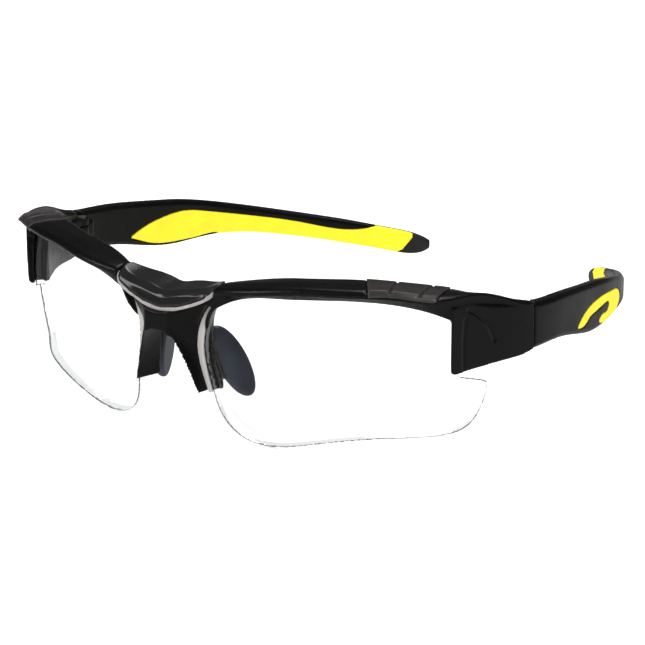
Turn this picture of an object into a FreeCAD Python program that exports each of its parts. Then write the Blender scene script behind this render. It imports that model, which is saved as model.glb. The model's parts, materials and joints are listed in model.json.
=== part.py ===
"""Half-rim wrap-around sports protective glasses, built as separate pieces.

Frame: millimetres, +X to the wearer's left, +Y back along the temples, +Z up. The object is
mirrored about x = 0. The origin is on the mirror plane, in line with the front edges of the two
brow bars where they meet the bridge. Every piece is modelled on the +X side and mirrored.
"""

import FreeCAD, Part
import math
import os

V = FreeCAD.Vector
MIRROR_NORMAL = V(1, 0, 0)

# ---- driving dimensions -------------------------------------------------------------------

# Lens: a base-8 spherical shield per eye.
LENS_CENTRE = V(11.0, 68.8, -8.9)
LENS_RADIUS = 66.7
LENS_THICKNESS = 2.0
LENS_CLEARANCE = 0.08
LENS_VIEW_ANGLE = 24.0

# Brow bar: front edge x, y; rear top edge x, y; undercut; heights of its lower edge, front edge
# and rear top edge.
BROW_STATIONS = [
    (8.0, -0.6, 8.0, 5.6, 1.0, -1.6, 2.4, 3.2),
    (14.0, -1.0, 14.0, 5.4, 2.0, 0.5, 5.0, 5.9),
    (20.2, -1.2, 19.2, 8.2, 2.6, 3.4, 5.9, 6.8),
    (30.8, 1.3, 28.2, 11.2, 2.8, 4.7, 7.2, 8.1),
    (41.2, 5.6, 36.6, 14.6, 2.9, 5.0, 7.6, 8.5),
    (51.4, 11.0, 45.2, 19.4, 3.0, 4.8, 7.5, 8.4),
    (57.4, 15.6, 51.0, 23.4, 3.0, 3.6, 6.8, 7.7),
    (61.4, 20.0, 56.0, 28.0, 2.8, 1.6, 5.7, 6.7),
    (63.4, 24.3, 59.0, 32.0, 1.6, -0.4, 5.4, 5.6),
    (65.6, 32.0, 62.2, 37.4, 0.6, -3.0, 5.0, 3.2),
    (68.7, 42.0, 65.0, 44.6, 0.4, -4.4, 1.6, 0.6),
    (70.6, 49.6, 66.8, 49.6, 0.4, -5.0, -0.7, -0.9),
]
BROW_LIP = 0.8
BROW_CROWN = 0.6
BROW_FRONT_ROUND = 1.2
BROW_REAR_FACE = 2.0
BROW_REAR_STEP = 1.2
TRIM_FRONT_START = 49.8
TRIM_FRONT_END = 61.2
TRIM_REAR_START = (43.8, 18.6)
TRIM_REAR_END = (58.8, 31.6)
TRIM_PROUD = 0.3
TRIM_WALL = 1.1
TRIM_EDGE_DROP = 0.5
ZONE_MARGIN = 2.0
ZONE_HEIGHT = 14.0

# Nose arms: height, ridge, nose side of the inlay, outer edge, outer rear and nose-side rear corner.
ARM_SECTIONS = [
    (-21.0, (9.3, -0.5), (9.6, 2.2), (12.2, 5.1), (11.8, 6.5), (7.0, 6.5)),
    (-16.0, (7.6, -1.8), (8.4, 1.6), (11.6, 4.6), (11.0, 6.5), (6.6, 6.5)),
    (-12.0, (6.1, -2.8), (7.5, 1.3), (10.6, 4.4), (9.8, 6.4), (6.4, 6.5)),
    (-8.3, (4.5, -3.8), (7.2, 1.3), (10.2, 4.0), (9.2, 6.4), (6.3, 6.4)),
    (-4.6, (3.2, -4.2), (7.9, 0.8), (11.2, 1.4), (9.4, 6.3), (5.8, 6.3)),
    (-1.4, (2.8, -3.9), (9.4, 0.2), (12.8, 0.3), (10.4, 6.1), (5.4, 6.2)),
    (1.2, (2.4, -2.6), (9.8, -0.8), (14.0, 0.6), (13.6, 5.4), (5.2, 6.1)),
]
INLAY_RISE = 0.45
INLAY_SINK = 0.35
CHANNEL_REACH = 3.6

# Bridge between the nose arms: plan corners, heights, and the arch under it.
BRIDGE_PLAN = [(3.4, -4.3), (6.6, 6.3)]
BRIDGE_LOW = -9.5
BRIDGE_HIGH = 2.6
ARCH_FRONT = (-7.0, 5.0, -6.2)
ARCH_REAR = (9.0, 8.4, -4.6)
ARCH_SPRING = -9.8
ARCH_LOW = -14.0

# Bridge cover: x, front rim (y, z), height of the shoulder, rear edge (y, z).
COVER_STATIONS = [
    (-14.1, (0.3, 4.3), 5.2, (4.2, 6.3)),
    (-12.4, (-2.0, 2.4), 4.3, (5.6, 5.8)),
    (-8.6, (-2.6, 0.6), 3.2, (6.6, 4.9)),
    (-5.0, (-2.9, -0.7), 2.5, (7.0, 4.4)),
    (0.0, (-3.2, -1.5), 1.6, (7.0, 3.4)),
    (5.0, (-2.9, -0.7), 2.5, (7.0, 4.4)),
    (8.6, (-2.6, 0.6), 3.2, (6.6, 4.9)),
    (12.4, (-2.0, 2.4), 4.3, (5.6, 5.8)),
    (14.1, (0.3, 4.3), 5.2, (4.2, 6.3)),
]
COVER_THICKNESS = 1.5
COVER_LIP = 1.0
COVER_REACH = 8.0
COVER_LAND = 1.2
COVER_LEDGE = 2.0
COVER_CREST = 3.0

# End piece: outer and inner line of the plate in plan, and its side outline (y, z).
PLATE_OUTER = [(63.4, 24.3), (65.6, 32.0), (68.7, 42.0), (70.6, 49.6)]
PLATE_INNER = [(60.2, 29.4), (62.6, 33.6), (65.2, 39.0), (66.6, 44.6), (66.8, 49.6)]
PLATE_SIDE = [
    (22.0, 3.0), (24.2, -2.0), (25.0, -12.4), (26.0, -13.3), (33.0, -12.9),
    (46.0, -12.8), (49.6, -12.1), (49.6, -1.6), (36.0, 1.5), (30.0, 3.0),
]

PLATE_X = (55.0, 75.0)

# Temple: y, x of its outer face, top, bottom, thickness.
TEMPLE_STATIONS = [
    (50.0, 70.6, -0.5, -12.2, 3.8),
    (57.0, 70.9, -1.4, -12.4, 3.8),
    (68.0, 70.1, -2.5, -13.8, 3.7),
    (80.0, 68.4, -4.3, -16.7, 3.6),
    (92.0, 66.3, -6.3, -17.8, 3.5),
    (104.0, 63.2, -9.2, -18.0, 3.4),
    (118.0, 57.0, -13.1, -20.2, 3.4),
    (131.0, 49.4, -16.9, -23.6, 3.3),
    (141.0, 42.2, -20.0, -26.7, 3.2),
    (149.5, 35.4, -22.9, -29.5, 3.1),
    (154.2, 30.4, -24.8, -30.5, 2.9),
    (156.6, 26.6, -27.0, -29.1, 1.7),
]
TEMPLE_CROWN = 1.1
GRIP_SHARE = 0.45
GRIP_TOP = [
    (70.2, -12.4), (74.0, -11.0), (78.0, -9.9), (83.5, -9.1), (89.5, -8.9), (98.0, -10.6),
    (112.0, -14.3), (126.0, -18.4), (139.0, -22.0), (146.0, -21.6), (155.0, -21.8),
]
GRIP_BOTTOM = [(151.0, -34.0), (105.0, -20.0), (102.0, -17.5), (96.0, -17.2), (89.0, -17.0),
               (83.0, -16.5), (77.0, -15.1)]
PEG_RADIUS = 0.8
PEG_LENGTH = 4.0
PEG_GRIP = 0.6
PEG_FALL = 0.35
PEG_LIFT = 0.9
TIP_SPLIT = [(153.2, -22.8), (148.0, -31.5), (165.0, -36.0), (165.0, -20.0)]

# Outer grip inlay: a hairpin band on the outer face.
INLAY_OUTLINE = [
    (72.8, -12.9), (76.4, -11.0), (80.0, -10.1), (86.0, -9.7), (92.0, -10.0), (98.6, -10.9),
    (103.8, -12.7), (105.2, -14.8), (103.0, -16.5), (96.0, -17.0), (89.4, -16.9), (87.3, -15.8),
    (90.0, -14.7), (94.0, -14.4), (94.6, -13.2), (91.4, -12.2), (86.0, -12.4), (80.0, -12.8),
    (75.4, -13.9),
]
INLAY_DEPTH = 0.8
INLAY_POSTS = [(82.0, -11.3), (92.0, -11.1), (103.0, -14.6)]
INLAY_POST_RADIUS = 0.6

# Hinge: a vertical screw through two frame knuckles and one temple knuckle.
HINGE_X = 66.4
HINGE_Y = 50.3
KNUCKLE_RADIUS = 1.9
KNUCKLE_TOP = -1.8
TONGUE_TOP = -4.2
TONGUE_BOTTOM = -8.4
KNUCKLE_BOTTOM = -10.8
KNUCKLE_GAP = 0.08
KNUCKLE_RELIEF = 0.2
KNUCKLE_WEB = (64.9, 44.8, 3.7, 5.2)
TONGUE_WEB = (3.2, 5.0)
RELIEF_TOP = 0.5
RELIEF_BOTTOM = -13.5
SCREW_RADIUS = 0.7
SCREW_HEAD_RADIUS = 1.25
SCREW_HEAD_HEIGHT = 0.7
SCREW_SLOT = 0.3
BORE_CLEARANCE = 0.04
INSERT_RADIUS = 1.1

# Nose pads and their carriers.
PAD_CENTRE = V(9.9, 12.3, -16.2)
PAD_LONG_RADIUS = 9.9
PAD_SHORT_RADIUS = 4.1
PAD_THICKNESS = 2.2
PAD_TILT = 24.0
PAD_NORMAL = V(1.0, -0.31, 0.25)
PAD_ROUNDING = 0.42
CARRIER_SECTIONS = [
    (-19.6, [(9.4, 5.6), (9.7, 9.8), (10.4, 9.7), (10.2, 5.6)]),
    (-13.0, [(7.6, 5.3), (8.2, 9.8), (8.9, 9.7), (8.4, 5.3)]),
]


# ---- geometry helpers ---------------------------------------------------------------------

def polygon(points):
    """Closed wire of straight edges."""
    return Part.makePolygon(points + [points[0]])


def spline_edge(points):
    """Open smooth edge through the points."""
    curve = Part.BSplineCurve()
    curve.interpolate(points)
    return curve.toShape()


def loft(wires, ruled=False):
    """Solid through closed wires."""
    return Part.makeLoft(wires, True, ruled)


def side_prism(outline, x_low, x_high):
    """Prism along X with straight sides, from (y, z) points."""
    face = Part.Face(polygon([V(x_low, y, z) for y, z in outline]))
    return face.extrude(V(x_high - x_low, 0, 0))


def smooth_side_prism(upper, lower, x_low, x_high):
    """Prism along X bounded by two smooth (y, z) lines, joined by straight ends."""
    first = [V(x_low, y, z) for y, z in upper]
    second = [V(x_low, y, z) for y, z in lower]
    edges = [
        spline_edge(first),
        Part.makeLine(first[-1], second[0]),
        spline_edge(second),
        Part.makeLine(second[-1], first[0]),
    ]
    return Part.Face(Part.Wire(edges)).extrude(V(x_high - x_low, 0, 0))


def round_side_prism(outline, x_low, x_high):
    """Prism along X inside one closed smooth line, from (y, z) points."""
    curve = Part.BSplineCurve()
    curve.interpolate([V(x_low, y, z) for y, z in outline], PeriodicFlag=True)
    return Part.Face(Part.Wire(curve.toShape())).extrude(V(x_high - x_low, 0, 0))


def upright(radius, z_low, z_high):
    """Vertical cylinder on the hinge axis."""
    return Part.makeCylinder(radius, z_high - z_low, V(HINGE_X, HINGE_Y, z_low))


def mirrored(shape):
    """The same piece on the -X side."""
    return shape.mirror(V(0, 0, 0), MIRROR_NORMAL)


def largest(shape):
    """The biggest solid of a cut, without slivers."""
    return max(shape.Solids, key=lambda solid: solid.Volume)


# ---- lens ---------------------------------------------------------------------------------

def lens_point(x, z):
    """Point of the lens's outer face above (x, z)."""
    dx = x - LENS_CENTRE.x
    dz = z - LENS_CENTRE.z
    return V(x, LENS_CENTRE.y - math.sqrt(LENS_RADIUS ** 2 - dx ** 2 - dz ** 2), z)


def on_view_plane(x, z):
    """Cast a point of the outer face from the lens centre onto a plane beyond the lens."""
    angle = math.radians(LENS_VIEW_ANGLE)
    forward = V(math.sin(angle), -math.cos(angle), 0)
    ray = lens_point(x, z) - LENS_CENTRE
    reach = LENS_RADIUS * 1.3
    return LENS_CENTRE + ray * (reach / ray.dot(forward))


def lens_outline():
    """Edge of the lens: lower sweep, nose edge, brow edge, and the notch under the end piece."""
    lower = [(67.5, -16.4), (66.6, -21.0), (63.4, -27.6), (58.6, -29.5), (48.0, -29.7),
             (36.0, -31.5), (24.0, -33.7), (16.6, -32.1), (12.7, -27.6), (11.2, -22.0),
             (10.1, -16.0), (9.4, -10.0), (10.4, -4.0), (13.0, 0.6)]
    brow = [(13.0, 0.6), (19.0, 4.6), (28.0, 6.2), (42.0, 6.7), (52.0, 5.8), (60.5, 2.2)]
    hidden = [(60.5, 2.2), (63.2, 0.0), (63.4, -14.3), (66.9, -15.7), (67.5, -16.4)]
    edges = [
        spline_edge([on_view_plane(x, z) for x, z in lower]),
        spline_edge([on_view_plane(x, z) for x, z in brow]),
    ]
    corners = [on_view_plane(x, z) for x, z in hidden]
    edges += [Part.makeLine(a, b) for a, b in zip(corners, corners[1:])]
    return Part.Wire(edges)


def lens_cone(wire):
    """Solid cone from the lens centre to a wire on the view plane."""
    tip = Part.Vertex(LENS_CENTRE)
    return Part.makeLoft([tip, wire], True, True)


def lens_shell(extra):
    """Spherical shell, thicker by extra on each face."""
    outer = Part.makeSphere(LENS_RADIUS + extra, LENS_CENTRE)
    inner = Part.makeSphere(LENS_RADIUS - LENS_THICKNESS - extra, LENS_CENTRE)
    return outer.cut(inner)


def make_lens():
    """Left lens, with its edge square to its surface."""
    return largest(lens_shell(0.0).common(lens_cone(lens_outline())))


def make_lens_slot():
    """Room for the lens in the frame: a thicker shell whose edge stands a little further out."""
    wire = lens_outline().makeOffset2D(LENS_CLEARANCE * 1.3)
    return lens_shell(LENS_CLEARANCE).common(lens_cone(wire))


def gasket_band():
    """Cone over the strip between the nose edge of the lens and the step in the nose arm."""
    edge = [(11.05, -21.3), (10.1, -16.0), (9.4, -10.0), (10.4, -4.0), (13.0, 0.6)]
    step = [(9.85, -21.3), (8.6, -16.0), (7.65, -10.0), (8.6, -4.0), (11.2, 0.6)]
    gap = LENS_CLEARANCE * 1.5
    lens_side = [on_view_plane(x - gap, z) for x, z in edge]
    arm_side = [on_view_plane(x, z) for x, z in reversed(step)]
    edges = [
        spline_edge(lens_side),
        Part.makeLine(lens_side[-1], arm_side[0]),
        spline_edge(arm_side),
        Part.makeLine(arm_side[-1], lens_side[0]),
    ]
    return lens_cone(Part.Wire(edges))


def sphere_layer(inner_extra, outer_extra):
    """Spherical layer between two distances from the lens's outer face."""
    outer = Part.makeSphere(LENS_RADIUS + outer_extra, LENS_CENTRE)
    return outer.cut(Part.makeSphere(LENS_RADIUS + inner_extra, LENS_CENTRE))


def make_gasket():
    """Pale inlay strip along the nose edge of the lens."""
    return largest(sphere_layer(-INLAY_SINK, INLAY_RISE).common(gasket_band()))


def make_gasket_channel():
    """Open channel in the nose arm, in which the inlay strip lies."""
    return largest(sphere_layer(-INLAY_SINK, CHANNEL_REACH).common(gasket_band()))


# ---- frame --------------------------------------------------------------------------------

def brow_frame(station):
    """Front point, unit direction to the rear edge and depth of a brow station."""
    front = V(station[0], station[1], 0)
    inward = V(station[2], station[3], 0) - front
    depth = inward.Length
    return front, inward.normalize(), depth


def brow_section(station, grow):
    """Upright cross-section of the brow from its front edge to its rear edge, grown by grow."""
    front, inward, depth = brow_frame(station)
    undercut, low, lead, top = station[4:]
    outline = [
        (undercut, low - grow),
        (0.3 - grow, lead - BROW_LIP),
        (-grow, lead),
        (BROW_FRONT_ROUND, 0.8 * lead + 0.2 * top + BROW_CROWN + grow),
        (0.5 * depth, 0.4 * lead + 0.6 * top + BROW_CROWN + grow),
        (depth - BROW_LIP, top + grow),
        (depth + grow, top - BROW_CROWN),
        (depth - 0.2 + grow, top - BROW_REAR_FACE),
        (depth - BROW_REAR_STEP, low + 0.2 - grow),
    ]
    return polygon([front + inward * d + V(0, 0, z) for d, z in outline])


def station_between(x):
    """Brow station at any x, between the two given ones next to it."""
    for left, right in zip(BROW_STATIONS, BROW_STATIONS[1:]):
        if left[0] <= x <= right[0]:
            share = (x - left[0]) / (right[0] - left[0])
            return tuple(a + share * (b - a) for a, b in zip(left, right))
    raise ValueError("x lies beyond the brow")


def stations_within(x_low, x_high):
    """Brow stations from one x position to another."""
    inner = [s for s in BROW_STATIONS if x_low < s[0] < x_high]
    return [station_between(x_low)] + inner + [station_between(x_high)]


def make_brow(grow, x_low, x_high):
    """Brow bar between two x positions."""
    return loft([brow_section(station, grow) for station in stations_within(x_low, x_high)])


def trim_zone():
    """Plan region of the brow trim, from its front edge to its rear edge."""
    stations = stations_within(TRIM_FRONT_START, TRIM_FRONT_END)
    front = [V(s[0] + 0.5 * ZONE_MARGIN, s[1] - 0.7 * ZONE_MARGIN, 0) for s in stations]
    rear = [V(s[2], s[3], 0) for s in reversed(stations[1:])]
    rear = [V(*TRIM_REAR_END, 0)] + rear + [V(*TRIM_REAR_START, 0)]
    floor = V(0, 0, -ZONE_MARGIN)
    face = Part.Face(polygon([point + floor for point in front + rear]))
    return face.extrude(V(0, 0, ZONE_HEIGHT))


def below_front_edge():
    """Everything lower than the trim's edge along the front of the brow."""
    wires = []
    for station in stations_within(TRIM_FRONT_START - 8.0, TRIM_FRONT_END + 3.0):
        front, inward, depth = brow_frame(station)
        ceiling = station[6] - TRIM_EDGE_DROP
        floor = ceiling - 0.5 * ZONE_HEIGHT
        far = depth + ZONE_MARGIN
        outline = [(-ZONE_MARGIN, ceiling), (far, ceiling + BROW_CROWN), (far, floor),
                   (-ZONE_MARGIN, floor)]
        wires.append(polygon([front + inward * d + V(0, 0, z) for d, z in outline]))
    return loft(wires)


def make_trim():
    """Panel let into the top of the outer brow, over its front edge."""
    first = TRIM_FRONT_START - 7.0
    last = TRIM_FRONT_END + 4.0
    block = make_brow(TRIM_PROUD, first, last)
    core = block.translated(V(-0.5 * TRIM_WALL, 0.8 * TRIM_WALL, -TRIM_WALL))
    return largest(block.common(trim_zone()).cut(core).cut(below_front_edge()))


def make_plate():
    """End piece: the side plate that carries the hinge, and the hook round the lens's corner."""
    outer = [V(x, y, 0) for x, y in PLATE_OUTER]
    inner = [V(x, y, 0) for x, y in reversed(PLATE_INNER)]
    edges = [
        spline_edge(outer),
        Part.makeLine(outer[-1], inner[0]),
        spline_edge(inner),
        Part.makeLine(inner[-1], outer[0]),
    ]
    band = Part.Face(Part.Wire(edges))
    band.translate(V(0, 0, min(z for y, z in PLATE_SIDE)))
    band = band.extrude(V(0, 0, ZONE_HEIGHT + ZONE_MARGIN + 1.0))
    return band.common(side_prism(PLATE_SIDE, *PLATE_X))


def make_arm():
    """One nose arm, from the bridge down to its foot."""
    wires = [polygon([V(x, y, section[0]) for x, y in section[1:]]) for section in ARM_SECTIONS]
    return loft(wires)


def make_bridge():
    """Bridge block between the nose arms, before the arch is cut."""
    (front_x, front_y), (rear_x, rear_y) = BRIDGE_PLAN
    corners = [(-front_x, front_y), (front_x, front_y), (rear_x, rear_y), (-rear_x, rear_y)]
    face = Part.Face(polygon([V(x, y, BRIDGE_LOW) for x, y in corners]))
    return face.extrude(V(0, 0, BRIDGE_HIGH - BRIDGE_LOW))


def arch_wire(y, half_width, apex):
    """Upright arch outline at one depth."""
    left = V(-half_width, y, ARCH_SPRING)
    right = V(half_width, y, ARCH_SPRING)
    foot = V(0, 0, ARCH_LOW - ARCH_SPRING)
    return Part.Wire([
        Part.Arc(left, V(0, y, apex), right).toShape(),
        Part.makeLine(right, right + foot),
        Part.makeLine(right + foot, left + foot),
        Part.makeLine(left + foot, left),
    ])


def make_arch():
    """Opening for the nose under the bridge, wider towards the face."""
    return loft([arch_wire(*ARCH_FRONT), arch_wire(*ARCH_REAR)], ruled=True)


def make_knuckle(z_low, z_high):
    """Frame knuckle with its web to the end piece."""
    barrel = upright(KNUCKLE_RADIUS, z_low, z_high)
    x, y, width, length = KNUCKLE_WEB
    web = Part.makeBox(width, length, z_high - z_low, V(x, y, z_low))
    return barrel.fuse(web)


def cover_underside(station):
    """Lower (y, z) points of the bridge cover, from its rear edge to its front rim."""
    (rim_y, rim_z), shoulder, (back_y, back_z) = station[1:]
    middle = 0.5 * (shoulder + back_z)
    return [
        (back_y, back_z - COVER_THICKNESS),
        (rim_y + 1.2 * COVER_CREST, middle - 0.9 * COVER_THICKNESS),
        (rim_y + COVER_LEDGE, rim_z + 0.4 * COVER_LIP),
        (rim_y + COVER_LAND, rim_z - 0.1 * COVER_LIP),
    ]


def make_cover():
    """Saddle-shaped cover over the bridge, with a thin lip along its front rim."""
    wires = []
    for station in COVER_STATIONS:
        x, (rim_y, rim_z), shoulder, (back_y, back_z) = station
        outline = [
            (rim_y, rim_z), (rim_y - 0.1 * COVER_LIP, rim_z + COVER_LIP),
            (rim_y + 0.9 * COVER_LIP, shoulder),
            (rim_y + COVER_CREST, 0.55 * shoulder + 0.45 * back_z + 0.5), (back_y, back_z),
        ]
        wires.append(polygon([V(x, y, z) for y, z in outline + cover_underside(station)]))
    return loft(wires)


def make_cover_seat():
    """Everything in front of and above the underside of the bridge cover."""
    wires = []
    for station in COVER_STATIONS:
        rim_y, rim_z = station[1]
        outline = [(rim_y, rim_z), (rim_y - COVER_REACH, rim_z),
                   (rim_y - COVER_REACH, rim_z + COVER_REACH),
                   (station[3][0], station[3][1] + COVER_REACH)]
        wires.append(polygon([V(station[0], y, z) for y, z in outline + cover_underside(station)]))
    return loft(wires)


def make_frame(cutters):
    """The whole front frame as one moulding, cut for everything that sits in it."""
    half = make_brow(0.0, BROW_STATIONS[0][0], BROW_STATIONS[-1][0])
    half = half.fuse([
        make_plate(),
        make_arm(),
        make_knuckle(TONGUE_TOP + KNUCKLE_GAP, KNUCKLE_TOP),
        make_knuckle(KNUCKLE_BOTTOM, TONGUE_BOTTOM - KNUCKLE_GAP),
    ])
    half = half.cut(upright(KNUCKLE_RADIUS + KNUCKLE_RELIEF, TONGUE_BOTTOM - KNUCKLE_GAP,
                            TONGUE_TOP + KNUCKLE_GAP))
    half = half.cut(cutters)
    bridge = make_bridge().cut(make_arch())
    whole = half.fuse([mirrored(half), bridge])
    return whole.cut(make_cover_seat())


# ---- temples ------------------------------------------------------------------------------

def temple_path():
    """Outer face of the temple in plan."""
    curve = Part.BSplineCurve()
    curve.interpolate([V(s[1], s[0], 0) for s in TEMPLE_STATIONS])
    return curve


def temple_section(station, near, far, extra):
    """Rounded upright section between two depths from the outer face, taller by extra."""
    path = temple_path()
    y, x, top, bottom, _ = station
    top += extra
    bottom -= extra
    parameter = path.parameter(V(x, y, 0))
    along = path.tangent(parameter)[0]
    inward = V(-along.y, along.x, 0)
    crown = min(TEMPLE_CROWN, (top - bottom) * 0.25)
    edge = (far - near) * 0.22
    outline = [
        (near, bottom + crown), (near, top - crown), (near + edge, top), (far - edge, top),
        (far, top - crown), (far, bottom + crown), (far - edge, bottom), (near + edge, bottom),
    ]
    point = V(x, y, 0)
    return polygon([point + inward * d + V(0, 0, z) for d, z in outline])


def temple_blade():
    """Whole temple blade."""
    return loft([temple_section(s, 0.0, s[4], 0.0) for s in TEMPLE_STATIONS])


def behind_depth(share, depth):
    """Everything inward of a share of the blade's thickness plus a depth."""
    reach = 8.0
    return loft([temple_section(s, s[4] * share + depth, s[4] * share + depth + reach, 3.0)
                 for s in TEMPLE_STATIONS])


def temple_pieces():
    """Temple arm, soft grip and end cap of the left temple."""
    blade = temple_blade()
    inner_layer = blade.common(behind_depth(1.0 - GRIP_SHARE, 0.0))
    tip_zone = side_prism(TIP_SPLIT, 20, 60)
    grip_zone = smooth_side_prism(GRIP_TOP, GRIP_BOTTOM, 20, 75)
    inlay_zone = round_side_prism(INLAY_OUTLINE, 45, 75)
    skin = blade.cut(behind_depth(0.0, INLAY_DEPTH))
    grip = inner_layer.common(grip_zone).cut(tip_zone)
    inlay = skin.common(inlay_zone)
    posts = [Part.makeCylinder(INLAY_POST_RADIUS, 14, V(57, y, z), V(1, 0, 0))
             for y, z in INLAY_POSTS]
    posts = [post.common(blade) for post in posts]
    grip = grip.fuse([inlay] + posts).removeSplitter()
    peg = blade.common(peg_zone())
    tip = blade.common(tip_zone).cut(peg)
    arm = blade.cut(grip).cut(tip)
    tongue = upright(KNUCKLE_RADIUS, TONGUE_BOTTOM, TONGUE_TOP)
    web = Part.makeBox(*TONGUE_WEB, TONGUE_TOP - TONGUE_BOTTOM, V(HINGE_X, HINGE_Y, TONGUE_BOTTOM))
    arm = arm.fuse([tongue, web])
    relief = KNUCKLE_RADIUS + KNUCKLE_RELIEF
    arm = arm.cut([
        upright(relief, TONGUE_TOP, RELIEF_TOP),
        upright(relief, RELIEF_BOTTOM, TONGUE_BOTTOM),
        upright(SCREW_RADIUS + BORE_CLEARANCE, RELIEF_BOTTOM, RELIEF_TOP),
    ])
    return largest(arm), largest(grip), largest(tip)


def peg_zone():
    """Peg of the arm that the end cap fits over."""
    y, x, top, bottom, thickness = TEMPLE_STATIONS[-2]
    middle = 0.5 * (top + bottom) + PEG_LIFT
    path = temple_path()
    along = path.tangent(path.parameter(V(x, y, 0)))[0]
    inward = V(-along.y, along.x, 0)
    direction = V(along.x, along.y, -PEG_FALL)
    start = V(x, y, middle) + inward * (0.5 * thickness) - direction * PEG_LENGTH
    return Part.makeCylinder(PEG_RADIUS, PEG_LENGTH + PEG_GRIP, start, direction)


# ---- hinge hardware -----------------------------------------------------------------------

def make_screw():
    """Slotted hinge screw."""
    shank = upright(SCREW_RADIUS, KNUCKLE_BOTTOM, KNUCKLE_TOP)
    head = upright(SCREW_HEAD_RADIUS, KNUCKLE_TOP - SCREW_HEAD_HEIGHT, KNUCKLE_TOP)
    slot = Part.makeBox(2 * SCREW_HEAD_RADIUS + 1, SCREW_SLOT, SCREW_SLOT,
                        V(HINGE_X - SCREW_HEAD_RADIUS - 0.5, HINGE_Y - SCREW_SLOT / 2,
                          KNUCKLE_TOP - SCREW_SLOT))
    return shank.fuse(head).cut(slot)


def make_insert():
    """Threaded sleeve in the lower knuckle."""
    z_high = TONGUE_BOTTOM - KNUCKLE_GAP - 0.3
    sleeve = upright(INSERT_RADIUS, KNUCKLE_BOTTOM, z_high)
    return sleeve.cut(upright(SCREW_RADIUS, KNUCKLE_BOTTOM - 1, z_high + 1))


# ---- nose pads ----------------------------------------------------------------------------

def make_carrier():
    """Hard blade on the nose arm that the pad clips to."""
    return loft([polygon([V(x, y, z) for x, y in points]) for z, points in CARRIER_SECTIONS])


def make_pad():
    """Soft pad: an oval slab, rounded all round."""
    normal = V(PAD_NORMAL)
    normal.normalize()
    tilt = math.radians(PAD_TILT)
    upward = V(0, -math.sin(tilt), math.cos(tilt))
    upward = upward - normal * upward.dot(normal)
    centre = PAD_CENTRE - normal * (PAD_THICKNESS / 2)
    oval = Part.Ellipse(centre + upward.normalize() * PAD_LONG_RADIUS,
                        centre + normal.cross(upward).normalize() * PAD_SHORT_RADIUS, centre)
    slab = Part.Face(Part.Wire(oval.toShape())).extrude(normal * PAD_THICKNESS)
    return slab.makeFillet(PAD_THICKNESS * PAD_ROUNDING, slab.Edges)


# ---- assembly -----------------------------------------------------------------------------

def build():
    """Every node, by name."""
    lens = make_lens()
    gasket = make_gasket()
    trim = make_trim()
    carrier = make_carrier()
    screw = make_screw()
    insert = make_insert()
    cover = make_cover()
    pad = make_pad().cut(carrier)
    cutters = [make_lens_slot(), make_gasket_channel(), trim, carrier, screw, insert,
               upright(SCREW_RADIUS, RELIEF_BOTTOM, RELIEF_TOP)]
    arm, grip, tip = temple_pieces()
    nodes = {
        "front_frame": make_frame(cutters),
        "bridge_cover": cover,
    }
    sided = {
        "lens": lens,
        "lens_gasket": gasket,
        "brow_trim": trim,
        "nose_pad": pad,
        "pad_carrier": carrier,
        "temple_arm": arm,
        "temple_grip": grip,
        "temple_tip": tip,
        "hinge_screw": screw,
        "hinge_insert": insert,
    }
    for name, shape in sided.items():
        nodes[name + "_left"] = shape
        nodes[name + "_right"] = mirrored(shape)
    return nodes


def main():
    os.makedirs("parts", exist_ok=True)
    for name, shape in build().items():
        shape.exportStep("parts/" + name + ".step")


main()
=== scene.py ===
"""Looks of the sports protective glasses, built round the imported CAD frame."""

import json
import math

import bmesh
import bpy
import numpy as np
from mathutils import Matrix, Vector

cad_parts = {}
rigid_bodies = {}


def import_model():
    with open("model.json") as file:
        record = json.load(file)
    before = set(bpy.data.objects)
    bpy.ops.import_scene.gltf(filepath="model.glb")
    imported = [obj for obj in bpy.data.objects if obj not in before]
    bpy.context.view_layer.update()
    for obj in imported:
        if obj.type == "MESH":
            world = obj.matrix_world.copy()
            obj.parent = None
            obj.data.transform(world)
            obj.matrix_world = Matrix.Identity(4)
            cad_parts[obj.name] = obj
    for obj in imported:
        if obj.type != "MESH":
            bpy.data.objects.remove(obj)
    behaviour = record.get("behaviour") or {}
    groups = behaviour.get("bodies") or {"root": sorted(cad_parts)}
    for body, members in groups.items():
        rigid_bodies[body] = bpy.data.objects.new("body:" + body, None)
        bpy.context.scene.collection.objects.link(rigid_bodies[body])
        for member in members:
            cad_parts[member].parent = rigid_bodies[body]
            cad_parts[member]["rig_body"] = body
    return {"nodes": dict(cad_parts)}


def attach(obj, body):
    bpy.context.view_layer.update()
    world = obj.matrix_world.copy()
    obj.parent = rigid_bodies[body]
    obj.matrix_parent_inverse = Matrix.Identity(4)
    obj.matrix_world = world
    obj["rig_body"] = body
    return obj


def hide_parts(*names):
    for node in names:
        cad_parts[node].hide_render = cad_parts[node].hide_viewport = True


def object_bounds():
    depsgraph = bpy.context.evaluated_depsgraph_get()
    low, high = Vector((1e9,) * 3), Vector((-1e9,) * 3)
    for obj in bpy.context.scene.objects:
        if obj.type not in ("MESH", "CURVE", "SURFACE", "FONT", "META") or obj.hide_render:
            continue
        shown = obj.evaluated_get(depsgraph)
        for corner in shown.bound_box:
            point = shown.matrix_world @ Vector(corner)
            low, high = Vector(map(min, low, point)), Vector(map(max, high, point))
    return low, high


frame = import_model()
cad_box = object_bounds()

# Lengths are in millimetres, except where the name ends in _M and in the placing of the lamps.
MM = 0.001
SIDES = (("left", 1.0), ("right", -1.0))

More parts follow.
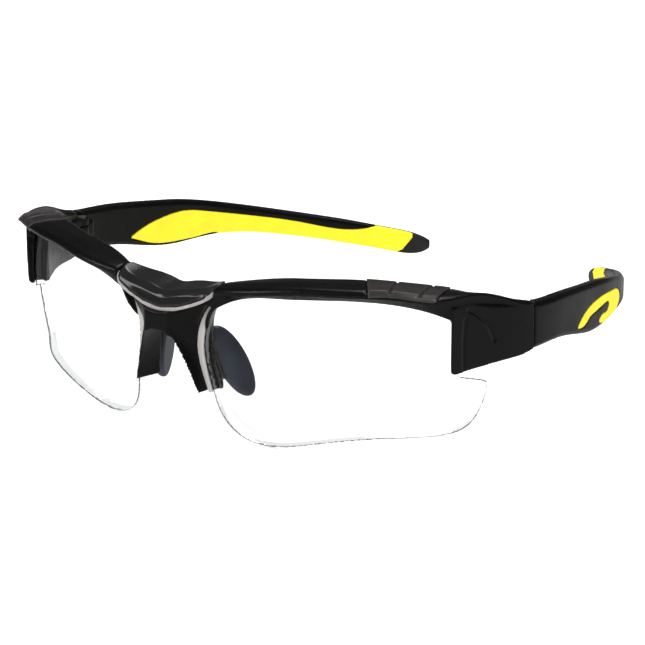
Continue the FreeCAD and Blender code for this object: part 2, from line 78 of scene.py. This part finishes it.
# Voxel size and number of smoothing steps of each moulded piece.
FRAME_MESH = (0.28, 16)
COVER_MESH = (0.18, 14)
LENS_MESH = (0.35, 3)
STRIP_MESH = (0.15, 4)
TRIM_MESH = (0.2, 8)
PAD_MESH = (0.2, 8)
ARM_MESH = (0.3, 6)
GRIP_MESH = (0.2, 4)
TIP_MESH = (0.2, 6)
WELD_M = 1e-6

# Lens: spherical faces. Points this close to a face's radius belong to that face.
LENS_CENTRE = (11.0, 68.8, -8.9)
LENS_RADIUS = 66.7
LENS_THICKNESS = 2.0
LENS_FACE_BAND = 0.25

# Bridge cover: front rim as x, y and z lists, height of its lip, seam above the lip, and the soft
# sweeps across its front as (x, z) points.
COVER_RIM_X = [0.0, 5.0, 8.6, 12.4, 14.1]
COVER_RIM_Y = [-3.2, -2.9, -2.6, -2.0, 0.3]
COVER_RIM_Z = [-1.5, -0.7, 0.6, 2.4, 4.3]
COVER_LIP = 1.0
LIP_DEPTH = 0.7
SEAM_LIFT = 0.1
SEAM_HALF_WIDTH = 0.3
SEAM_DEPTH = 0.16
SEAM_REACH = 1.0
SWEEPS = [
    [(13.0, 4.6), (9.0, 2.9), (4.0, 1.6), (-1.0, 1.1), (-6.0, 1.6)],
    [(12.0, 3.2), (8.0, 1.4), (3.5, 0.2), (-2.0, -0.1), (-7.5, 0.9)],
]
SWEEP_HALF_WIDTH = 1.0
SWEEP_DEPTH = 0.22

# End piece: crease arc and step line on its outer face as (y, z) points.
CREASE = [(29.5, 1.8), (32.3, -0.1), (35.2, -2.9), (37.3, -7.0)]
CREASE_HALF_WIDTH = 0.7
CREASE_DEPTH = 0.28
STEP_LINE = [(28.6, -0.4), (28.2, -6.0), (28.4, -12.4)]
STEP_HALF_WIDTH = 0.8
STEP_DEPTH = 0.2
END_PIECE_X = 60.0

# Brow trim: diagonal grooves in plan.
TRIM_GROOVES = [[(53.6, 13.4), (49.6, 23.6)], [(59.0, 17.9), (56.1, 29.2)]]
GROOVE_HALF_WIDTH = 0.45
GROOVE_DEPTH = 0.4


# ---- mesh helpers ---------------------------------------------------------------------------

def bake(piece):
    """Applies a piece's modifiers to its mesh."""
    graph = bpy.context.evaluated_depsgraph_get()
    made = bpy.data.meshes.new_from_object(piece.evaluated_get(graph))
    old = piece.data
    piece.modifiers.clear()
    piece.data = made
    bpy.data.meshes.remove(old)


def points_of(piece):
    """Vertex positions in millimetres."""
    flat = np.zeros(len(piece.data.vertices) * 3)
    piece.data.vertices.foreach_get("co", flat)
    return flat.reshape(-1, 3) / MM


def normals_of(piece):
    """Vertex normals."""
    flat = np.zeros(len(piece.data.vertices) * 3)
    piece.data.vertices.foreach_get("normal", flat)
    return flat.reshape(-1, 3)


def set_points(piece, points):
    """Writes vertex positions given in millimetres."""
    piece.data.vertices.foreach_set("co", (points * MM).ravel())
    piece.data.update()


def shade_smooth(piece):
    """Smooth shading on every face."""
    piece.data.polygons.foreach_set("use_smooth", [True] * len(piece.data.polygons))
    piece.data.update()


def welded_copy(node, name):
    """New mesh of a CAD node, with the vertices joined that repeat along its edges."""
    work = bmesh.new()
    work.from_mesh(frame["nodes"][node].data)
    bmesh.ops.remove_doubles(work, verts=work.verts, dist=WELD_M)
    mesh = bpy.data.meshes.new(name)
    work.to_mesh(mesh)
    work.free()
    return mesh


def moulded(name, node, mesh_settings, material):
    """Finely meshed copy of a CAD node with softened edges, which stands for that node."""
    voxel, steps = mesh_settings
    piece = bpy.data.objects.new(name, welded_copy(node, name))
    bpy.context.scene.collection.objects.link(piece)
    remesh = piece.modifiers.new("remesh", "REMESH")
    remesh.mode = "VOXEL"
    remesh.voxel_size = voxel * MM
    smooth = piece.modifiers.new("smooth", "SMOOTH")
    smooth.factor = 0.5
    smooth.iterations = steps
    bake(piece)
    piece.name = name
    shade_smooth(piece)
    piece.data.materials.clear()
    piece.data.materials.append(material)
    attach(piece, frame["nodes"][node]["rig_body"])
    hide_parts(node)
    return piece


def distance_to_line(points, line):
    """Distance of each 2-D point to an open line of 2-D points."""
    line = np.array(line, float)
    best = np.full(len(points), 1e9)
    for a, b in zip(line, line[1:]):
        along = b - a
        share = np.clip((points - a) @ along / (along @ along), 0, 1)
        best = np.minimum(best, np.linalg.norm(points - a - share[:, None] * along, axis=1))
    return best


def smooth_line(points, count=40):
    """Catmull-Rom curve through a few 2-D points."""
    points = np.array(points, float)
    padded = np.vstack([2 * points[0] - points[1], points, 2 * points[-1] - points[-2]])
    out = []
    for i in range(len(points) - 1):
        p0, p1, p2, p3 = padded[i:i + 4]
        for t in np.linspace(0, 1, count // (len(points) - 1), endpoint=False):
            out.append(0.5 * (2 * p1 + (p2 - p0) * t + (2 * p0 - 5 * p1 + 4 * p2 - p3) * t ** 2
                              + (3 * p1 - p0 - 3 * p2 + p3) * t ** 3))
    out.append(points[-1])
    return np.array(out)


def engrave(piece, line, mask, half_width, depth, axes=(1, 2)):
    """Presses a rounded groove into a piece along a line seen in two axes, where mask holds."""
    points = points_of(piece)
    normals = normals_of(piece)
    gap = distance_to_line(points[:, axes], line)
    profile = np.clip(1 - (gap / half_width) ** 2, 0, 1) ** 1.5
    press = np.where(mask(points, normals), profile, 0)
    set_points(piece, points - normals * (press * depth)[:, None])


# ---- materials ------------------------------------------------------------------------------

EDGE_START = 0.5
EDGE_FULL = 0.58
MOTTLE_SIZE = 2.5
CLOUD_SIZE = 6.0
SINK_SIZE = 9.0
SINK_DEPTH = 0.05
COAT_WEIGHT = 0.15
COAT_ROUGHNESS = 0.15
RUBBER_MOTTLE_SIZE = 4.0
RUBBER_GRAIN_DEPTH = 0.02
SUBSURFACE_SCALE = 0.5
LENS_IOR = 1.45
LENS_ROUGHNESS = 0.03
LENS_CLOUD_SIZE = 40.0
TOOL_MARK_SIZE = 0.2
TOOL_MARK_DEPTH = 0.01


def new_material(name, **values):
    """Principled material with the given input values."""
    material = bpy.data.materials.new(name)
    material.use_nodes = True
    shader = material.node_tree.nodes["Principled BSDF"]
    for key, value in values.items():
        shader.inputs[key.replace("_", " ")].default_value = value
    return material, material.node_tree, shader


def add(tree, kind, **settings):
    """New shader node, with its settings and input values."""
    node = tree.nodes.new("ShaderNode" + kind)
    for key, value in settings.items():
        if key in node.inputs:
            node.inputs[key].default_value = value
        else:
            setattr(node, key, value)
    return node


def noise(tree, size_mm, detail=3.0, stretch=(1, 1, 1)):
    """Noise in the piece's own space with features of about size_mm."""
    place = add(tree, "TexCoord")
    mapping = add(tree, "Mapping")
    mapping.inputs["Scale"].default_value = stretch
    texture = add(tree, "TexNoise", Scale=1.0 / (size_mm * MM), Detail=detail)
    tree.links.new(place.outputs["Object"], mapping.inputs["Vector"])
    tree.links.new(mapping.outputs["Vector"], texture.inputs["Vector"])
    return texture.outputs["Fac"]


def ramp(tree, source, stops):
    """Colour ramp of (position, colour or grey level)."""
    node = add(tree, "ValToRGB")
    elements = node.color_ramp.elements
    while len(elements) < len(stops):
        elements.new(0.5)
    for element, (position, value) in zip(elements, stops):
        element.position = position
        element.color = (value, value, value, 1) if isinstance(value, float) else (*value, 1)
    tree.links.new(source, node.inputs["Fac"])
    return node.outputs["Color"]


def bump(tree, shader, source, strength, depth_mm, below=None):
    """Bump from a height source, on top of another bump if one is given."""
    node = add(tree, "Bump", Strength=strength, Distance=depth_mm * MM)
    tree.links.new(source, node.inputs["Height"])
    if below is not None:
        tree.links.new(below, node.inputs["Normal"])
    tree.links.new(node.outputs["Normal"], shader.inputs["Normal"])
    return node.outputs["Normal"]


def moulded_plastic(name, base, worn, rough, grain_mm, grain_depth, shine=0.15):
    """Moulded plastic: fine grain, cloudy sheen, and a little wear on convex edges."""
    material, tree, shader = new_material(name, Roughness=rough)
    edges = ramp(tree, add(tree, "NewGeometry").outputs["Pointiness"],
                 [(EDGE_START, 0.0), (EDGE_FULL, 1.0)])
    mottle = noise(tree, MOTTLE_SIZE)
    wear = add(tree, "Math", operation="MULTIPLY")
    tree.links.new(edges, wear.inputs[0])
    tree.links.new(mottle, wear.inputs[1])
    mix = add(tree, "Mix", data_type="RGBA")
    mix.inputs["A"].default_value = (*base, 1)
    mix.inputs["B"].default_value = (*worn, 1)
    tree.links.new(wear.outputs[0], mix.inputs["Factor"])
    tree.links.new(mix.outputs["Result"], shader.inputs["Base Color"])
    shader.inputs["Specular IOR Level"].default_value = shine
    shader.inputs["Coat Weight"].default_value = COAT_WEIGHT
    shader.inputs["Coat Roughness"].default_value = COAT_ROUGHNESS
    cloud = ramp(tree, noise(tree, CLOUD_SIZE), [(0.3, rough * 0.85), (0.7, rough * 1.2)])
    tree.links.new(cloud, shader.inputs["Roughness"])
    below = bump(tree, shader, noise(tree, grain_mm), 0.5, grain_depth)
    bump(tree, shader, noise(tree, SINK_SIZE, detail=1.0), 0.25, SINK_DEPTH, below)
    return material


def soft_rubber(name, base, shade, rough, grain_mm=0.12, soft=0.0):
    """Soft-touch rubber: fine matt grain with slight colour variation."""
    material, tree, shader = new_material(name, Roughness=rough)
    colour = ramp(tree, noise(tree, RUBBER_MOTTLE_SIZE), [(0.3, shade), (0.7, base)])
    tree.links.new(colour, shader.inputs["Base Color"])
    shader.inputs["Subsurface Weight"].default_value = soft
    shader.inputs["Subsurface Scale"].default_value = SUBSURFACE_SCALE * MM
    bump(tree, shader, noise(tree, grain_mm), 0.4, RUBBER_GRAIN_DEPTH)
    return material


def lens_material(name, tint, reflect):
    """Clear hard-coated lens: sees through, mirrors its surroundings at grazing angles."""
    material = bpy.data.materials.new(name)
    material.use_nodes = True
    tree = material.node_tree
    tree.nodes.clear()
    out = add(tree, "OutputMaterial")
    clear = add(tree, "BsdfTransparent", Color=(*tint, 1))
    gloss = add(tree, "BsdfGlossy", Color=(1, 1, 1, 1), Roughness=LENS_ROUGHNESS)
    fresnel = add(tree, "Fresnel", IOR=LENS_IOR)
    cloud = noise(tree, LENS_CLOUD_SIZE, detail=0.0)
    smudge = ramp(tree, cloud, [(0.3, reflect * 0.94), (0.7, reflect)])
    share = add(tree, "Math", operation="MULTIPLY")
    mix = add(tree, "MixShader")
    tree.links.new(fresnel.outputs["Fac"], share.inputs[0])
    tree.links.new(smudge, share.inputs[1])
    tree.links.new(share.outputs[0], mix.inputs["Fac"])
    tree.links.new(clear.outputs[0], mix.inputs[1])
    tree.links.new(gloss.outputs[0], mix.inputs[2])
    tree.links.new(mix.outputs[0], out.inputs["Surface"])
    return material


def turned_metal(name, colour, rough, stretch):
    """Small turned metal part with fine tool marks."""
    material, tree, shader = new_material(name, Metallic=1.0, Roughness=rough)
    bump(tree, shader, noise(tree, TOOL_MARK_SIZE, stretch=stretch), 0.3, TOOL_MARK_DEPTH)
    shader.inputs["Base Color"].default_value = (*colour, 1)
    return material


black = moulded_plastic("black_nylon", (0.0015, 0.0015, 0.0017), (0.008, 0.008, 0.009), 0.3,
                        0.25, 0.02)
temple_black = moulded_plastic("temple_nylon", (0.0015, 0.0015, 0.0017), (0.008, 0.008, 0.008),
                               0.33, 0.3, 0.015)
grey = moulded_plastic("cover_grey", (0.01, 0.01, 0.0105), (0.05, 0.05, 0.05), 0.17, 0.25, 0.006,
                       shine=0.5)
lip_grey = moulded_plastic("cover_lip", (0.3, 0.27, 0.265), (0.5, 0.48, 0.47), 0.4, 0.3, 0.01)
trim_grey = moulded_plastic("trim_grey", (0.022, 0.018, 0.018), (0.08, 0.08, 0.08), 0.42, 0.3,
                            0.02)
yellow = soft_rubber("yellow_rubber", (0.93, 0.78, 0.0), (0.9, 0.72, 0.0), 0.5, soft=0.05)
pad_rubber = soft_rubber("pad_rubber", (0.02, 0.026, 0.044), (0.01, 0.012, 0.02), 0.36)
tip_rubber = soft_rubber("tip_rubber", (0.008, 0.008, 0.009), (0.006, 0.006, 0.006), 0.45)
# Pale grey of the strip at each lens's nasal edge: painted highlight standing for the light the
# lens edge catches.
painted_highlight_strip = soft_rubber("painted_lens_edge_highlight", (0.5, 0.48, 0.46), (0.45, 0.43, 0.41), 0.55)
glass = lens_material("lens_clear", (0.99, 0.993, 0.993), 0.16)
glass_rim = lens_material("lens_rim", (0.93, 0.94, 0.94), 0.3)
# Dark tint on the faces along each lens's outer corner: painted shade for the dark line the lens
# edge shows.
glass_corner_painted_shade = lens_material("lens_corner_painted_shade", (0.14, 0.15, 0.16), 0.3)
steel = turned_metal("screw_steel", (0.55, 0.55, 0.56), 0.3, (1, 8, 1))
brass = turned_metal("insert_brass", (0.7, 0.52, 0.22), 0.35, (1, 1, 1))


# ---- pieces ---------------------------------------------------------------------------------

def facing_forward(points, normals):
    """Faces turned to the front."""
    return normals[:, 1] < 0.0


def facing_up(points, normals):
    """Faces turned up or to the side."""
    return normals[:, 2] > -0.2


def outer_face(points, normals):
    """Outward faces of the two end pieces."""
    outward = normals[:, 0] * np.sign(points[:, 0])
    return (np.abs(points[:, 0]) > END_PIECE_X) & (outward > 0.3)


def make_cover():
    """Bridge cover: pale lip along the front rim, seam above it, soft sweeps across the front."""
    cover = moulded("bridge_cover_shell", "bridge_cover", COVER_MESH, grey)
    points = points_of(cover)
    across = np.abs(points[:, 0])
    rise = points[:, 2] - np.interp(across, COVER_RIM_X, COVER_RIM_Z)
    ahead = points[:, 1] - np.interp(across, COVER_RIM_X, COVER_RIM_Y)
    normals = normals_of(cover)
    forward = normals[:, 1] < -0.2
    height = (rise - COVER_LIP - SEAM_LIFT) / SEAM_HALF_WIDTH
    seam = np.clip(1 - height ** 2, 0, 1) * forward * (ahead < SEAM_REACH)
    set_points(cover, points - normals * (seam * SEAM_DEPTH)[:, None])
    for sweep in SWEEPS:
        engrave(cover, smooth_line(sweep), facing_forward, SWEEP_HALF_WIDTH, SWEEP_DEPTH, (0, 2))
    cover.data.materials.append(lip_grey)
    lip = (rise < COVER_LIP) & (ahead < LIP_DEPTH)
    marks = [int(all(lip[v] for v in polygon.vertices)) for polygon in cover.data.polygons]
    cover.data.polygons.foreach_set("material_index", marks)


def make_front():
    """Front frame, with a crease arc and a step line on the outer face of each end piece."""
    front = moulded("front_frame_body", "front_frame", FRAME_MESH, black)
    engrave(front, smooth_line(CREASE), outer_face, CREASE_HALF_WIDTH, CREASE_DEPTH)
    engrave(front, smooth_line(STEP_LINE), outer_face, STEP_HALF_WIDTH, STEP_DEPTH)


def make_lens(side, sign):
    """Lens with truly spherical faces, a clear rim and a thin dark line of painted shade along its
    outer corner.
    """
    piece = moulded("lens_" + side + "_shield", "lens_" + side, LENS_MESH, glass)
    piece.data.materials.append(glass_rim)
    piece.data.materials.append(glass_corner_painted_shade)
    points = points_of(piece)
    centre = np.array(LENS_CENTRE) * (sign, 1, 1)
    arm = points - centre
    reach = np.linalg.norm(arm, axis=1)
    layer = np.zeros(len(points), int)
    for number, radius in ((1, LENS_RADIUS - LENS_THICKNESS), (2, LENS_RADIUS)):
        near = np.abs(reach - radius) < LENS_FACE_BAND
        arm[near] *= (radius / reach[near])[:, None]
        layer[near] = number
    set_points(piece, centre + arm)
    kinds = []
    for polygon in piece.data.polygons:
        layers = [layer[v] for v in polygon.vertices]
        # Kind 2, faces at the outer corner, gets the dark tint of painted shade.
        kinds.append(0 if min(layers) > 0 else 2 if max(layers) == 2 else 1)
    piece.data.polygons.foreach_set("material_index", kinds)


def make_trim(side, sign):
    """Brow trim with its diagonal grooves."""
    trim = moulded("brow_trim_" + side + "_panel", "brow_trim_" + side, TRIM_MESH, trim_grey)
    for groove in TRIM_GROOVES:
        line = [(sign * x, y) for x, y in groove]
        engrave(trim, line, facing_up, GROOVE_HALF_WIDTH, GROOVE_DEPTH, (0, 1))


def dress(node, material):
    """Gives a CAD node that stays visible its material."""
    mesh = frame["nodes"][node].data
    mesh.materials.clear()
    mesh.materials.append(material)


make_front()
make_cover()
for side, sign in SIDES:
    make_lens(side, sign)
    # Pale strip along the nasal lens edge: painted highlight where the lens edge catches light.
    moulded("gasket_" + side + "_strip", "lens_gasket_" + side, STRIP_MESH, painted_highlight_strip)
    make_trim(side, sign)
    moulded("nose_pad_" + side + "_soft", "nose_pad_" + side, PAD_MESH, pad_rubber)
    moulded("temple_" + side + "_arm", "temple_arm_" + side, ARM_MESH, temple_black)
    moulded("temple_" + side + "_grip", "temple_grip_" + side, GRIP_MESH, yellow)
    moulded("temple_" + side + "_tip", "temple_tip_" + side, TIP_MESH, tip_rubber)
    dress("pad_carrier_" + side, black)
    dress("hinge_screw_" + side, steel)
    dress("hinge_insert_" + side, brass)


# ---- floor, light and camera ----------------------------------------------------------------

# The camera looks at a point behind the bridge, shifted to its own right and up.
CAMERA_AZIMUTH = math.radians(34.6)
CAMERA_ELEVATION = math.radians(17.92)
CAMERA_DISTANCE = 713.32
CAMERA_LENS = 161.06
SENSOR_WIDTH = 36.0
AIM_BACK = 50.0
AIM_RIGHT = 8.16
AIM_UP = -17.62
CLIP_START_M = 0.01
CLIP_END_M = 50.0

FLOOR_HALF_SIZE_M = 4.0
FLOOR_GAP_M = 0.0003
FLOOR_CLOUD_SIZE = 300.0
FLOOR_IN_REFLECTIONS = 0.3
WORLD_STRENGTH = 1.02
WORLD_IN_REFLECTIONS = 0.06


def make_floor():
    """Pale studio floor, just under the lowest edge of the lenses, darker to reflections."""
    work = bmesh.new()
    bmesh.ops.create_grid(work, x_segments=8, y_segments=8, size=FLOOR_HALF_SIZE_M)
    mesh = bpy.data.meshes.new("floor")
    work.to_mesh(mesh)
    work.free()
    floor = bpy.data.objects.new("floor", mesh)
    bpy.context.scene.collection.objects.link(floor)
    floor.location = (0, 0, cad_box[0][2] - FLOOR_GAP_M)
    material, tree, shader = new_material("floor_pale", Roughness=0.7)
    colour = ramp(tree, noise(tree, FLOOR_CLOUD_SIZE), [(0.3, 0.93), (0.7, 0.95)])
    shader.inputs["Specular IOR Level"].default_value = 0.0
    path = add(tree, "LightPath")
    seen = add(tree, "Mix", data_type="RGBA")
    seen.inputs["B"].default_value = (*[FLOOR_IN_REFLECTIONS] * 3, 1)
    tree.links.new(path.outputs["Is Glossy Ray"], seen.inputs["Factor"])
    tree.links.new(colour, seen.inputs["A"])
    tree.links.new(seen.outputs["Result"], shader.inputs["Base Color"])
    mesh.materials.append(material)


def area_light(name, place, size, power):
    """Large soft lamp aimed at the middle of the object; metres and watts."""
    data = bpy.data.lights.new(name, "AREA")
    data.shape = "RECTANGLE"
    data.size, data.size_y = size
    data.energy = power
    lamp = bpy.data.objects.new(name, data)
    bpy.context.scene.collection.objects.link(lamp)
    lamp.location = place
    lamp.rotation_mode = "QUATERNION"
    aim = Vector((0, AIM_BACK * MM, 0)) - Vector(place)
    lamp.rotation_quaternion = aim.to_track_quat("-Z", "Y")
    lamp.visible_camera = False


def make_world():
    """White surroundings, nearly dark to reflections."""
    world = bpy.data.worlds.new("studio")
    bpy.context.scene.world = world
    world.use_nodes = True
    tree = world.node_tree
    tree.nodes.clear()
    out = tree.nodes.new("ShaderNodeOutputWorld")
    seen = tree.nodes.new("ShaderNodeBackground")
    seen.inputs["Color"].default_value = (1, 1, 1, 1)
    seen.inputs["Strength"].default_value = 1.0
    light = tree.nodes.new("ShaderNodeBackground")
    light.inputs["Color"].default_value = (1, 1, 1, 1)
    path = tree.nodes.new("ShaderNodeLightPath")
    dim = tree.nodes.new("ShaderNodeMapRange")
    dim.inputs["To Min"].default_value = WORLD_STRENGTH
    dim.inputs["To Max"].default_value = WORLD_IN_REFLECTIONS
    tree.links.new(path.outputs["Is Glossy Ray"], dim.inputs["Value"])
    tree.links.new(dim.outputs["Result"], light.inputs["Strength"])
    mix = tree.nodes.new("ShaderNodeMixShader")
    tree.links.new(path.outputs["Is Camera Ray"], mix.inputs["Fac"])
    tree.links.new(light.outputs[0], mix.inputs[1])
    tree.links.new(seen.outputs[0], mix.inputs[2])
    tree.links.new(mix.outputs[0], out.inputs["Surface"])


def make_camera():
    """Camera in front of the left lens, a little above the glasses."""
    sin_a, cos_a = math.sin(CAMERA_AZIMUTH), math.cos(CAMERA_AZIMUTH)
    sin_e, cos_e = math.sin(CAMERA_ELEVATION), math.cos(CAMERA_ELEVATION)
    back = Vector((sin_a * cos_e, -cos_a * cos_e, sin_e))
    right = Vector((cos_a, sin_a, 0))
    up = back.cross(right)
    target = Vector((0, AIM_BACK, 0)) + right * AIM_RIGHT + up * AIM_UP
    data = bpy.data.cameras.new("camera")
    data.sensor_width = SENSOR_WIDTH
    data.lens = CAMERA_LENS
    camera = bpy.data.objects.new("camera", data)
    bpy.context.scene.collection.objects.link(camera)
    turn = Matrix((right, up, back)).transposed().to_4x4()
    camera.matrix_world = Matrix.Translation((target + back * CAMERA_DISTANCE) * MM) @ turn
    data.clip_start = CLIP_START_M
    data.clip_end = CLIP_END_M
    bpy.context.scene.camera = camera


make_floor()
make_world()
area_light("key", (-0.5, -0.6, 1.0), (0.9, 0.6), 7.0)
area_light("fill", (0.9, -0.5, 0.5), (0.6, 0.6), 1.4)
area_light("top", (0.1, 0.5, 0.9), (1.0, 0.4), 5.0)
make_camera()
bpy.context.scene.view_settings.view_transform = "Standard"
